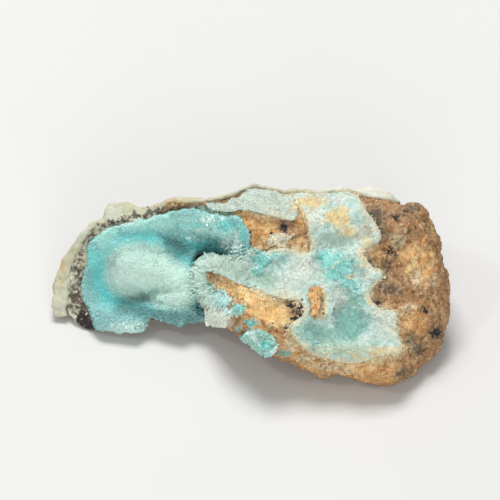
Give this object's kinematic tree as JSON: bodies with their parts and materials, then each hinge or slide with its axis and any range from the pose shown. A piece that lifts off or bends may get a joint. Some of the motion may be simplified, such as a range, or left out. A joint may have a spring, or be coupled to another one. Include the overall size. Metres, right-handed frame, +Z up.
{
  "type": "hemimorphite mineral specimen",
  "caption": "Hand specimen of turquoise and white hemimorphite in a crystal-lined hollow and a fibrous vein on brown limonite, resting on its flat underside.",
  "frame": {"origin": "on the table, under the middle of the stone's bounding box", "axes": "+X along the specimen, from the narrow end with the hollow to the broad limonite end; +Z up; the crystal face looks towards -Y and up, leaning back 42 degrees"},
  "size_m": [0.092, 0.0484, 0.0335],
  "materials": {
    "limonite": "rough, earthy iron-oxide rock, matte",
    "turquoise_druse": "fine glassy crystals, sparkling",
    "fibrous_hemimorphite": "translucent radiating fibres, silky",
    "botryoidal_crust": "translucent rounded heads, waxy"
  },
  "bodies": {
    "root": {"limonite_matrix": "limonite", "turquoise_druse": "turquoise_druse", "fibrous_vein": "fibrous_hemimorphite", "upper_vein_slab": "fibrous_hemimorphite", "lower_druse": "turquoise_druse", "limonite_chip": "limonite", "botryoidal_crust": "botryoidal_crust"}
  },
  "joints": []
}
